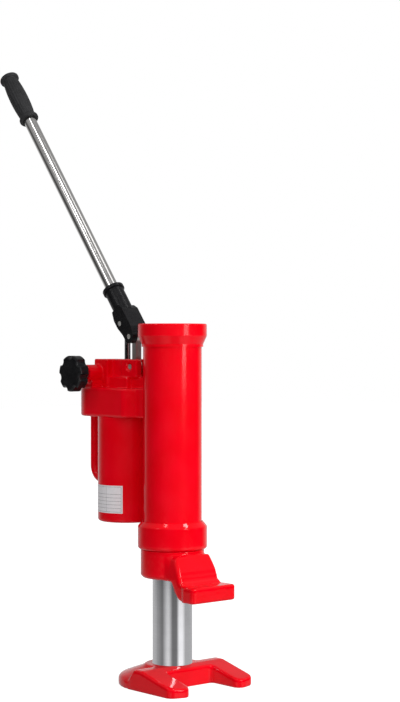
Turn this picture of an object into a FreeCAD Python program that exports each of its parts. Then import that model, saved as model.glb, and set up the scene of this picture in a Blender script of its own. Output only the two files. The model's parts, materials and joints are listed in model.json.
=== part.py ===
import FreeCAD, Part
import math
import os
from types import SimpleNamespace

import Sketcher
from FreeCAD import Placement, Rotation, Vector

# Hydraulic toe jack, millimetres. The ram stands fixed in the foot on the Z axis and the cylinder
# slides up it, carrying the toe in front (-Y) and the hand pump behind (+Y).

SIZES = {
    # Foot casting
    "foot_width": 169,
    "foot_radius": 84,
    "foot_notch_width": 92,
    "foot_hub_front": 40,
    "foot_leg_reach": 106,
    "foot_leg_outer_reach": 94,
    "foot_slope_start": 25,
    "foot_hub_height": 32,
    "foot_tip_height": 12,
    "foot_rim_height": 16,
    "foot_disc_diameter": 88,
    "foot_disc_rise": 3,
    "foot_step_front": 8,
    "foot_step_back": 8,
    "foot_step_inset": 1,
    "foot_corner_radius": 13,
    "foot_root_radius": 5,
    "foot_edge_radius": 3,
    "foot_rim_chamfer": 4,
    # Ram and its guide piston
    "ram_diameter": 62,
    "ram_length": 324,
    "ram_spigot_diameter": 44,
    "ram_spigot_depth": 17,
    "ram_chamfer": 1.5,
    "piston_height": 30,
    "piston_seat_diameter": 40,
    "piston_port_diameter": 7,
    "guide_ring_height": 8,
    "guide_ring_thickness": 2.5,
    "piston_nut_flats": 52,
    "piston_nut_height": 16,
    # Gaps between pieces
    "running_clearance": 0.05,
    "fit_clearance": 0.05,
    "swivel_gap": 0.3,
    "side_gap": 0.6,
    # How far the toe stands above its seat on the foot
    "raised": 134,
    # Toe casting
    "toe_ring_diameter": 99,
    "toe_ring_height": 43.7,
    "toe_width": 88,
    "toe_neck_width": 80,
    "toe_lip_back": 69,
    "toe_lip_wide": 77,
    "toe_rim_radius": 3.5,
    "toe_brow_depth": 50,
    "toe_brow_height": 37.5,
    "toe_knee_depth": 60.5,
    "toe_knee_height": 15,
    "toe_step": 2.5,
    "toe_root_depth": 68.5,
    "toe_lip_reach": 100,
    "toe_lip_rise": 4,
    "toe_lip_drop": 29,
    "toe_lip_thickness": 24,
    "toe_heel_start": 40.5,
    "toe_heel_depth": 58.5,
    "toe_heel_radius": 18,
    "toe_edge_radius": 6,
    "toe_corner_radius": 7,
    "toe_ring_chamfer": 4,
    # Lower collar, its seals and the nut that holds the toe
    "collar_diameter": 108,
    "collar_height": 43,
    "collar_edge_radius": 4,
    "collar_chamfer": 3,
    "collar_tube_seat": 28,
    "spigot_diameter": 80,
    "spigot_thread_diameter": 76,
    "spigot_bore_gap": 0.5,
    "toe_nut_diameter": 88,
    "toe_nut_height": 10.5,
    "toe_nut_inset": 2,
    "rod_seal_height": 9,
    "rod_seal_width": 3.5,
    "bush_height": 25,
    "wiper_height": 5,
    "wiper_width": 4,
    # Cylinder tube and head
    "cylinder_height": 350,
    "tube_diameter": 91.5,
    "bore_diameter": 72,
    "head_diameter": 107.5,
    "head_height": 36,
    "head_band": 19,
    "head_lip": 4,
    "head_neck_diameter": 96,
    "head_plate": 12,
    "head_edge_radius": 2.5,
    "head_seal_height": 5,
    "head_seal_width": 3,
    # Pump block
    "pump_reach": 112,
    "block_rise": 202,
    "flange_width": 95,
    "flange_height": 46,
    "flange_end_back": 45,
    "flange_shoulder_front": 48,
    "flange_corner_radius": 12,
    "neck_width": 60,
    "neck_shoulder": 52,
    "neck_start": 30,
    "saddle_width": 24,
    "saddle_height": 17,
    "plinth_width": 42,
    "plinth_front": 25,
    "body_height": 46,
    "lug_width": 34,
    "lug_front": 44,
    "lug_end_front": 4,
    "lug_nose_radius": 5,
    "waist_width": 26,
    "waist_back": 21,
    "valve_body_width": 50,
    "valve_body_back": 56,
    "block_edge_radius": 3,
    "block_corner_radius": 1.8,
    "block_top_radius": 1.2,
    "valve_boss_diameter": 28,
    "valve_boss_reach": 52,
    "valve_height": 69,
    "valve_web_width": 20,
    "valve_web_reach": 44,
    # Oil tank
    "tank_diameter": 95,
    "tank_wall": 3,
    "tank_floor": 5,
    "tank_height": 167,
    "tank_edge_radius": 5,
    "tank_spigot_depth": 12,
    "tank_seal_height": 4,
    "tank_seal_width": 3,
    "strainer_diameter": 12,
    "strainer_bore": 7,
    "strainer_length": 130,
    "strainer_socket": 6,
    # Pump plunger, its gland and valves
    "plunger_diameter": 10,
    "plunger_end_rise": 46,
    "pump_bore_rise": 24,
    "plunger_eye_diameter": 18,
    "plunger_eye_width": 12,
    "gland_diameter": 18,
    "gland_height": 10,
    "plunger_seal_diameter": 16,
    "plunger_seal_height": 8,
    "valve_chamber_diameter": 12,
    "valve_ball_diameter": 9,
    "valve_seat_bore": 6,
    "inlet_seat_height": 12,
    "delivery_rise": 16,
    "delivery_bore": 6,
    "delivery_seat_reach": 80,
    "delivery_retainer_length": 18,
    "delivery_lift": 2,
    "filler_diameter": 14,
    "filler_head_diameter": 20,
    "filler_head_height": 5,
    "filler_hex_flats": 10,
    "filler_shank": 14,
    "filler_side": 33,
    "filler_back": 6,
    "relief_diameter": 10,
    "relief_depth": 14,
    "relief_inset": 0.5,
    "relief_hex_flats": 5,
    "relief_back": 28,
    # Release valve
    "needle_diameter": 10,
    "needle_seat_reach": 10,
    "needle_tip_length": 5,
    "valve_nut_flats": 19,
    "valve_nut_height": 6,
    "knob_diameter": 58,
    "knob_thickness": 18,
    "knob_scallop_diameter": 14,
    "knob_scallop_out": 2.8,
    "knob_face_thickness": 6,
    "knob_hub_diameter": 26,
    "knob_hub_height": 4,
    "knob_edge_radius": 3.5,
    "knob_screw_diameter": 5,
    "knob_gap": 3,
    # Carry handle
    "carry_bar_diameter": 14,
    "carry_bar_back": 86,
    "carry_bar_drop": 104,
    "carry_bend_radius": 22,
    # Lever linkage
    "pin_diameter": 8,
    "plunger_pin_rise": 56.8,
    "fulcrum_front": 23.5,
    "fulcrum_rise": 36,
    "link_pin_drop": 12,
    "link_slot_depth": 27,
    "link_width": 11.4,
    "link_depth": 9.2,
    "link_eye_diameter": 16,
    "link_foot_diameter": 19,
    "link_play": 1.5,
    "link_play_back": 0.4,
    "link_play_down": 0.5,
    "pin_recess_diameter": 15,
    "pin_recess_depth": 2.5,
    # Handle socket, in a frame along the lever with its zero on the plunger pin
    "lever_angle": 51.8,
    "lever_offset": 5,
    "yoke_width": 33,
    "yoke_slot_width": 13.2,
    "yoke_slot_top": 13,
    "yoke_slot_back": 14.8,
    "yoke_under": 9,
    "yoke_over": 20,
    "yoke_shoulder": 17,
    "yoke_under_shoulder": 12,
    "yoke_top": 26,
    "yoke_cheek_drop": 3,
    "yoke_nose_diameter": 21.5,
    "socket_diameter": 31,
    "socket_length": 67.5,
    "socket_floor": 22,
    "socket_rim_diameter": 36,
    "socket_rim_height": 5,
    "pin_overhang": 2.5,
    "circlip_diameter": 12,
    "circlip_thickness": 1,
    # Lever
    "lever_diameter": 21.3,
    "lever_wall": 2,
    "lever_length": 520,
    "grip_length": 104,
    "grip_neck_diameter": 26,
    "grip_belly": 2.8,
    "grip_flange_diameter": 33.5,
    "grip_flange_length": 7,
    "grip_dome": 3,
    "grip_edge_radius": 2,
    "grip_end_wall": 5,
}

FLANGE_ARC = 240
KNOB_LOBES = 7
PISTON_PORTS = 4
NEAR = 0.01

doc = FreeCAD.newDocument("toe_jack")
dims = doc.addObject("Spreadsheet::Sheet", "dims")
for row, (alias, value) in enumerate(SIZES.items(), start=1):
    dims.set(f"A{row}", alias)
    dims.set(f"B{row}", str(value))
    dims.setAlias(f"B{row}", alias)
doc.recompute()


class Size:
    """A length or angle: its number, and the expression over the sheet that gives it."""

    def __init__(self, value, text=None):
        self.value = float(value)
        self.text = text or f"({float(value)})"

    def __add__(self, other):
        other = as_size(other)
        return Size(self.value + other.value, f"({self.text} + {other.text})")

    def __sub__(self, other):
        other = as_size(other)
        return Size(self.value - other.value, f"({self.text} - {other.text})")

    def __mul__(self, other):
        other = as_size(other)
        return Size(self.value * other.value, f"({self.text} * {other.text})")

    def __truediv__(self, other):
        other = as_size(other)
        return Size(self.value / other.value, f"({self.text} / {other.text})")

    def __neg__(self):
        return Size(-self.value, f"(-{self.text})")


def as_size(number):
    return number if isinstance(number, Size) else Size(number)


def cosine(angle):
    return Size(math.cos(math.radians(angle.value)), f"cos({angle.text} * 1 deg)")


def sine(angle):
    return Size(math.sin(math.radians(angle.value)), f"sin({angle.text} * 1 deg)")


ZERO = Size(0)
s = SimpleNamespace(**{alias: Size(dims.get(alias), f"dims.{alias}") for alias in SIZES})
nodes = {}


# Drawing and shaping

def new_body(label, x=ZERO, y=ZERO, z=ZERO, axis=Vector(0, 0, 1), angle=ZERO):
    """A body named label, standing at x, y, z and turned by angle about axis."""
    body = doc.addObject("PartDesign::Body", label)
    body.Label = label
    nodes[label] = body
    base = Vector(x.value, y.value, z.value)
    body.Placement = Placement(base, Rotation(axis, angle.value))
    for place, length in (("Base.x", x), ("Base.y", y), ("Base.z", z), ("Rotation.Angle", angle)):
        if length is not ZERO:
            body.setExpression(f"Placement.{place}", length.text)
    return body


def new_sketch(body, plane, offset=ZERO):
    """An empty sketch on one of the body's own planes, moved along the plane's normal."""
    sketch = body.newObject("Sketcher::SketchObject", f"{body.Name}_sketch")
    support = next(item for item in body.Origin.OriginFeatures if item.Role == plane)
    sketch.AttachmentSupport = (support, "")
    sketch.MapMode = "FlatFace"
    if offset is not ZERO:
        sketch.setExpression("AttachmentOffset.Base.z", offset.text)
    return sketch


def hold_point(sketch, edge, end, x, y):
    """Tie one end of a sketch edge to the two sizes that place it."""
    for kind, length, axis in (("DistanceX", x, -2), ("DistanceY", y, -1)):
        if length is ZERO:
            sketch.addConstraint(Sketcher.Constraint("PointOnObject", edge, end, axis))
        else:
            rule = Sketcher.Constraint(kind, -1, 1, edge, end, length.value)
            sketch.setExpression(f"Constraints[{sketch.addConstraint(rule)}]", length.text)


def draw_outline(sketch, points):
    """A closed run of edges through points; a third size bows the next, upright edge to its right."""
    first = sketch.GeometryCount
    count = len(points)
    for here, there in zip(points, points[1:] + points[:1]):
        start = Vector(here[0].value, here[1].value)
        end = Vector(there[0].value, there[1].value)
        if len(here) > 2:
            middle = (start + end) / 2 + Vector(here[2].value, 0)
            edge = sketch.addGeometry(Part.Arc(start, middle, end))
            bow = here[2]
            chord = there[1] - here[1]
            radius = (chord * chord / 4 + bow * bow) / (bow * 2)
            rule = Sketcher.Constraint("Radius", edge, radius.value)
            sketch.setExpression(f"Constraints[{sketch.addConstraint(rule)}]", radius.text)
        else:
            sketch.addGeometry(Part.LineSegment(start, end))
    for step in range(count):
        following = first + (step + 1) % count
        sketch.addConstraint(Sketcher.Constraint("Coincident", first + step, 2, following, 1))
    for step, point in enumerate(points):
        hold_point(sketch, first + step, 1, point[0], point[1])


def draw_circle(sketch, x, y, diameter):
    centre = Vector(x.value, y.value)
    edge = sketch.addGeometry(Part.Circle(centre, Vector(0, 0, 1), diameter.value / 2))
    hold_point(sketch, edge, 3, x, y)
    rule = Sketcher.Constraint("Diameter", edge, diameter.value)
    sketch.setExpression(f"Constraints[{sketch.addConstraint(rule)}]", diameter.text)


def add_feature(body, kind, sketch, length, symmetric, backward):
    """A pad or pocket of the sketch, by length or, with none, through everything."""
    feature = body.newObject(f"PartDesign::{kind}", f"{body.Name}_{kind.lower()}")
    feature.Profile = sketch
    if symmetric:
        feature.SideType = "Symmetric"
    feature.Reversed = backward
    if length is None:
        feature.Type = "ThroughAll"
    else:
        feature.setExpression("Length", length.text)
    return feature


def pad(body, sketch, length, symmetric=False, backward=False):
    return add_feature(body, "Pad", sketch, length, symmetric, backward)


def pocket(body, sketch, length=None, symmetric=False, backward=False):
    """A cut that has to take something away."""
    doc.recompute()
    before = body.Shape.Volume
    feature = add_feature(body, "Pocket", sketch, length, symmetric, backward)
    doc.recompute()
    if not body.Shape.Volume < before:
        raise RuntimeError(f"a pocket in {body.Label} cuts nothing")
    return feature


def revolve(body, profile, kind="Revolution", plane="XZ_Plane", angle=360):
    """Turn a profile of radius and height pairs about the body's Z axis, half to each side."""
    sketch = new_sketch(body, plane)
    draw_outline(sketch, profile)
    feature = body.newObject(f"PartDesign::{kind}", f"{body.Name}_{kind.lower()}")
    feature.Profile = sketch
    feature.ReferenceAxis = (sketch, ["V_Axis"])
    feature.Midplane = True
    feature.Angle = angle
    return feature


def ring_profile(inner, outer, bottom, top):
    return [(inner, bottom), (outer, bottom), (outer, top), (inner, top)]


def drill(body, plane, x, y, diameter, offset=ZERO, depth=None, symmetric=False, backward=False):
    """A round hole from a plane of the body."""
    sketch = new_sketch(body, plane, offset)
    draw_circle(sketch, x, y, diameter)
    return pocket(body, sketch, depth, symmetric, backward)


def add_round(body, plane, x, y, diameter, offset, length, symmetric=False):
    """A round boss from a plane of the body."""
    sketch = new_sketch(body, plane, offset)
    draw_circle(sketch, x, y, diameter)
    return pad(body, sketch, length, symmetric)


def dress(body, kind, amount, choose):
    """A fillet or chamfer on the edges of the body that choose picks."""
    doc.recompute()
    base = body.Tip
    names = [f"Edge{n}" for n, edge in enumerate(base.Shape.Edges, start=1) if choose(edge)]
    if not names:
        raise RuntimeError(f"no edge to dress on {body.Label}")
    feature = body.newObject(f"PartDesign::{kind}", f"{body.Name}_{kind.lower()}")
    feature.Base = (base, names)
    feature.setExpression("Radius" if kind == "Fillet" else "Size", amount.text)
    doc.recompute()
    return feature


def near(a, b):
    return abs(a - b) < NEAR


def upright_at(*places):
    """Chooses the vertical edges that stand at the given x, y places."""
    def choose(edge):
        box = edge.BoundBox
        if box.ZLength < NEAR or box.XLength > NEAR or box.YLength > NEAR:
            return False
        return any(near(box.XMin, x.value) and near(box.YMin, y.value) for x, y in places)
    return choose


def level_at(height):
    """Chooses the edges that lie flat at a height."""
    def choose(edge):
        return near(edge.BoundBox.ZMin, height.value) and near(edge.BoundBox.ZMax, height.value)
    return choose


def circle_at(diameter, height):
    """Chooses the full or part circles about the Z axis of one diameter at one height."""
    def choose(edge):
        if not level_at(height)(edge) or not isinstance(edge.Curve, Part.Circle):
            return False
        centre = edge.Curve.Center
        return near(edge.Curve.Radius, diameter.value / 2) and near(math.hypot(centre.x, centre.y), 0)
    return choose


def turned(label, profile, **seat):
    """A turned piece of its own."""
    body = new_body(label, **seat)
    revolve(body, profile)
    return body


def hexagon(flats):
    """The six corners of a hexagon with a corner on the sketch's x axis."""
    corner = flats / math.sqrt(3)
    half = flats / 2
    return [(corner, ZERO), (corner / 2, half), (-(corner / 2), half),
            (-corner, ZERO), (-(corner / 2), -half), (corner / 2, -half)]


def rectangle(width, front, back):
    half = width / 2
    return [(-half, front), (half, front), (half, back), (-half, back)]


def hex_pocket(body, flats, offset, depth, backward=False):
    sketch = new_sketch(body, "XY_Plane", offset)
    draw_outline(sketch, hexagon(flats))
    return pocket(body, sketch, depth, backward=backward)


# Heights and places that several pieces share

ram_top = s.foot_hub_height + s.ram_length
toe_bottom = s.foot_hub_height + s.raised
collar_bottom = toe_bottom + s.toe_ring_height + s.swivel_gap
collar_top = collar_bottom + s.collar_height
tube_bottom = collar_top - s.collar_tube_seat
head_top = collar_bottom + s.cylinder_height
tube_top = head_top - s.head_plate
spigot_end = toe_bottom + s.toe_nut_inset
nut_top = spigot_end + s.toe_nut_height
seat_face = nut_top + s.swivel_gap
block_bottom = collar_bottom + s.block_rise
flange_top = block_bottom + s.flange_height
block_top = flange_top + s.body_height
pin_z = block_top + s.plunger_pin_rise
fulcrum_z = block_top + s.fulcrum_rise
link_pin_z = block_top - s.link_pin_drop
valve_z = block_bottom + s.valve_height
delivery_z = block_bottom + s.delivery_rise
running_bore = s.running_clearance * 2
fit_bore = s.fit_clearance * 2


# Foot

def make_foot():
    """A horseshoe: two legs in front, a low round flange behind and a seat for the ram."""
    foot = new_body("foot")
    half = s.foot_notch_width / 2
    side = s.foot_width / 2
    rim = s.foot_radius
    heel = rim - s.foot_step_inset
    outer_tips = [(-side, -s.foot_leg_outer_reach), (side, -s.foot_leg_outer_reach)]
    inner_tips = [(-half, -s.foot_leg_reach), (half, -s.foot_leg_reach)]
    roots = [(-half, -s.foot_hub_front), (half, -s.foot_hub_front)]
    legs = new_sketch(foot, "XY_Plane")
    draw_outline(legs, [(-heel, s.foot_step_back), (-side, ZERO), outer_tips[0], inner_tips[0],
                        inner_tips[1], outer_tips[1], (side, ZERO), (heel, s.foot_step_back)])
    pad(foot, legs, s.foot_hub_height)
    fall = (s.foot_hub_height - s.foot_tip_height) / (s.foot_leg_reach - s.foot_slope_start)
    clear = s.foot_hub_height + s.foot_edge_radius
    beyond = s.foot_leg_reach + s.foot_edge_radius
    behind = s.foot_step_back + s.foot_edge_radius
    rim_wall = s.foot_rim_height - s.foot_rim_chamfer
    slope = new_sketch(foot, "YZ_Plane")
    draw_outline(slope, [(-s.foot_slope_start, s.foot_hub_height), (-s.foot_slope_start, clear),
                         (-beyond, clear), (-beyond, s.foot_tip_height - fall * s.foot_edge_radius)])
    pocket(foot, slope, symmetric=True)
    step = new_sketch(foot, "YZ_Plane")
    draw_outline(step, [(-s.foot_step_front, s.foot_hub_height), (s.foot_step_back, rim_wall),
                        (behind, rim_wall), (behind, clear), (-s.foot_step_front, clear)])
    pocket(foot, step, symmetric=True)
    notch = new_sketch(foot, "XY_Plane", clear)
    draw_outline(notch, rectangle(s.foot_notch_width, -beyond, -s.foot_hub_front))
    pocket(foot, notch)
    dress(foot, "Fillet", s.foot_corner_radius, upright_at(*outer_tips, *inner_tips))
    dress(foot, "Fillet", s.foot_root_radius, upright_at(*roots))
    dress(foot, "Fillet", s.foot_edge_radius, foot_top_edges)
    disc = s.foot_disc_diameter / 2
    shelf = s.foot_hub_height - s.foot_disc_rise
    revolve(foot, [(ZERO, ZERO), (rim, ZERO), (rim, rim_wall),
                   (rim - s.foot_rim_chamfer, s.foot_rim_height), (disc, shelf),
                   (disc, s.foot_hub_height), (ZERO, s.foot_hub_height)],
            plane="YZ_Plane", angle=FLANGE_ARC)
    drill(foot, "XY_Plane", ZERO, ZERO, s.ram_spigot_diameter + fit_bore, s.foot_hub_height,
          s.ram_spigot_depth)


def foot_top_edges(edge):
    """The upper rim of the legs and of the notch between them."""
    box = edge.BoundBox
    low = s.foot_tip_height.value - s.foot_edge_radius.value
    in_front = box.YMax < -s.foot_step_front.value + NEAR
    crease = near(box.YLength, 0) and near(box.YMin, -s.foot_slope_start.value)
    tall = box.ZLength > s.foot_hub_height.value - s.foot_tip_height.value + NEAR
    return box.ZMin > low and in_front and not crease and not tall


# Ram

def make_ram():
    """The fixed ram, screwed into the foot, and the ported piston that ends the stroke."""
    radius = s.ram_diameter / 2
    spigot = s.ram_spigot_diameter / 2
    spigot_bottom = s.foot_hub_height - s.ram_spigot_depth
    thread_top = ram_top + s.piston_height + s.piston_nut_height
    seat = s.piston_seat_diameter / 2
    ram = turned("ram", [
        (ZERO, spigot_bottom), (spigot, spigot_bottom), (spigot, s.foot_hub_height),
        (radius, s.foot_hub_height), (radius, ram_top), (seat, ram_top), (seat, thread_top),
        (ZERO, thread_top)])
    dress(ram, "Chamfer", s.ram_chamfer, circle_at(s.piston_seat_diameter, thread_top))

    piston_radius = s.bore_diameter / 2 - s.running_clearance * 2
    ring_floor = piston_radius - s.guide_ring_thickness
    piston_top = ram_top + s.piston_height
    ring_bottom = ram_top + (s.piston_height - s.guide_ring_height) / 2
    ring_top = ring_bottom + s.guide_ring_height
    piston = turned("guide_piston", [
        (seat + s.fit_clearance, ram_top), (piston_radius, ram_top), (piston_radius, ring_bottom),
        (ring_floor, ring_bottom), (ring_floor, ring_top), (piston_radius, ring_top),
        (piston_radius, piston_top), (seat + s.fit_clearance, piston_top)])
    port = new_sketch(piston, "XY_Plane", ram_top)
    draw_circle(port, (ring_floor + radius) / 2, ZERO, s.piston_port_diameter)
    first = pocket(piston, port, s.piston_height, backward=True)
    polar_pattern(piston, first, port, PISTON_PORTS)
    turned("piston_guide_ring", ring_profile(ring_floor + s.fit_clearance,
                                             s.bore_diameter / 2 - s.running_clearance,
                                             ring_bottom, ring_top))
    nut = new_body("piston_nut")
    plan = new_sketch(nut, "XY_Plane", piston_top)
    draw_outline(plan, hexagon(s.piston_nut_flats))
    pad(nut, plan, s.piston_nut_height)
    drill(nut, "XY_Plane", ZERO, ZERO, s.piston_seat_diameter + fit_bore, piston_top,
          s.piston_nut_height, backward=True)


def polar_pattern(body, feature, sketch, count):
    """Repeat a feature around the Z axis of its body."""
    pattern = body.newObject("PartDesign::PolarPattern", f"{body.Name}_pattern")
    pattern.Originals = [feature]
    pattern.Axis = (sketch, ["N_Axis"])
    pattern.Angle = 360
    pattern.Occurrences = count
    body.Tip = pattern
    doc.recompute()
    return pattern


# Toe

def make_toe():
    """The claw: a ring round the collar's spigot, a stepped sloping neck and a flat lip."""
    toe = new_body("toe", z=toe_bottom)
    ring_radius = s.toe_ring_diameter / 2
    hidden = ring_radius / 2
    half = s.toe_width / 2
    lip_top = s.toe_lip_thickness - s.toe_lip_drop
    lip_root = lip_top + s.toe_lip_rise
    ledge = (s.toe_knee_height + lip_root) / 2
    knee_fall = s.toe_step / 2
    shin = s.toe_knee_depth + s.toe_step
    side = new_sketch(toe, "YZ_Plane")
    draw_outline(side, [
        (-hidden, s.toe_brow_height), (-s.toe_brow_depth, s.toe_brow_height),
        (-s.toe_knee_depth, s.toe_knee_height), (-s.toe_knee_depth - knee_fall, ledge + s.toe_step),
        (-shin, ledge), (-shin - knee_fall, lip_root + s.toe_step), (-s.toe_root_depth, lip_root),
        (-s.toe_root_depth - s.toe_lip_rise, lip_top),
        (-s.toe_root_depth - s.toe_lip_rise, -s.toe_lip_drop),
        (-s.toe_heel_depth, -s.toe_lip_drop), (-s.toe_heel_start, ZERO), (-hidden, ZERO)])
    pad(toe, side, s.toe_neck_width, symmetric=True)
    dress(toe, "Fillet", s.toe_heel_radius, across_at(-s.toe_heel_depth))
    dress(toe, "Fillet", s.toe_edge_radius, toe_side_edges)
    lip = new_sketch(toe, "XY_Plane", -s.toe_lip_drop)
    right = [(half, -s.toe_lip_reach), (half, -s.toe_lip_wide), (s.toe_neck_width / 2, -s.toe_lip_back)]
    left = [(-x, y) for x, y in reversed(right)]
    draw_outline(lip, right + left)
    pad(toe, lip, s.toe_lip_thickness)
    dress(toe, "Fillet", s.toe_corner_radius, upright_at(right[0], left[-1]))
    dress(toe, "Fillet", s.toe_rim_radius, toe_rim_edges)
    revolve(toe, [(ZERO, ZERO), (ring_radius - s.toe_ring_chamfer, ZERO),
                  (ring_radius, s.toe_ring_chamfer), (ring_radius, s.toe_ring_height),
                  (ZERO, s.toe_ring_height)])
    drill(toe, "XY_Plane", ZERO, ZERO, s.spigot_diameter + running_bore, backward=True)
    drill(toe, "XY_Plane", ZERO, ZERO, s.toe_nut_diameter + s.side_gap, depth=seat_face - toe_bottom,
          backward=True)


def across_at(y):
    """Chooses the edges that run across the body at one y."""
    def choose(edge):
        box = edge.BoundBox
        return box.XLength > NEAR and near(box.YMin, y.value) and near(box.YMax, y.value)
    return choose


def toe_side_edges(edge):
    """The edges of both side faces, apart from those buried in the ring."""
    box = edge.BoundBox
    half = s.toe_neck_width.value / 2
    on_side = near(abs(box.XMin), half) and near(box.XLength, 0)
    return on_side and box.YMin < -s.toe_brow_depth.value + NEAR


def toe_rim_edges(edge):
    """The upper and lower edges along the lip's front and sides."""
    box = edge.BoundBox
    along_side = near(abs(box.XMin), s.toe_width.value / 2) and near(box.XLength, 0)
    along_front = near(box.YMax, -s.toe_lip_reach.value)
    return near(box.ZLength, 0) and (along_side or along_front)


# Gland end of the cylinder

def make_gland():
    """The collar with its spigot through the toe, the bush, seals and the nut under the toe."""
    rod = s.ram_diameter / 2
    outer = s.collar_diameter / 2
    tube = s.tube_diameter / 2 + s.fit_clearance
    spigot = s.spigot_diameter / 2
    thread = s.spigot_thread_diameter / 2
    bore = rod + s.spigot_bore_gap
    seal_room = rod + s.rod_seal_width
    wiper_room = rod + s.wiper_width
    seal_bottom = tube_bottom - s.rod_seal_height
    wiper_top = spigot_end + s.wiper_height
    collar = turned("lower_collar", [
        (wiper_room, spigot_end), (thread, spigot_end), (thread, seat_face), (spigot, seat_face),
        (spigot, collar_bottom), (outer, collar_bottom), (outer, collar_top), (tube, collar_top),
        (tube, tube_bottom), (seal_room, tube_bottom), (seal_room, seal_bottom),
        (bore, seal_bottom), (bore, wiper_top), (wiper_room, wiper_top)])
    dress(collar, "Fillet", s.collar_edge_radius, circle_at(s.collar_diameter, collar_top))
    dress(collar, "Chamfer", s.collar_chamfer, circle_at(s.collar_diameter, collar_bottom))
    rod_gap = rod + s.running_clearance
    turned("rod_seal", ring_profile(rod_gap, seal_room - s.fit_clearance, seal_bottom, tube_bottom))
    turned("rod_guide_bush", ring_profile(rod_gap, s.bore_diameter / 2 - s.fit_clearance,
                                          tube_bottom, tube_bottom + s.bush_height))
    turned("wiper_ring", ring_profile(rod_gap, wiper_room - s.fit_clearance, spigot_end, wiper_top))
    turned("toe_retaining_nut", ring_profile(thread + s.fit_clearance, s.toe_nut_diameter / 2,
                                             spigot_end, nut_top))


# Cylinder tube and head

def make_cylinder():
    tube = turned("cylinder_tube", ring_profile(s.bore_diameter / 2, s.tube_diameter / 2,
                                                tube_bottom, tube_top))
    drill(tube, "XZ_Plane", ZERO, delivery_z, s.delivery_bore)
    outer = s.head_diameter / 2
    neck = s.head_neck_diameter / 2
    socket = s.tube_diameter / 2 + s.fit_clearance
    bottom = head_top - s.head_height
    band = head_top - s.head_band
    groove_top = tube_top - s.head_seal_height
    groove_bottom = groove_top - s.head_seal_height
    groove = socket + s.head_seal_width
    head = turned("cylinder_head", [
        (socket, bottom), (neck, bottom), (neck, bottom + s.head_lip), (outer, band),
        (outer, head_top), (ZERO, head_top), (ZERO, tube_top), (socket, tube_top),
        (socket, groove_top), (groove, groove_top), (groove, groove_bottom),
        (socket, groove_bottom)])
    dress(head, "Fillet", s.head_edge_radius, circle_at(s.head_diameter, head_top))
    dress(head, "Fillet", s.head_edge_radius, circle_at(s.head_diameter, band))
    turned("head_seal", ring_profile(socket, groove - s.fit_clearance, groove_bottom, groove_top))


# Pump block and tank, drawn about the pump's own upright axis

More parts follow.
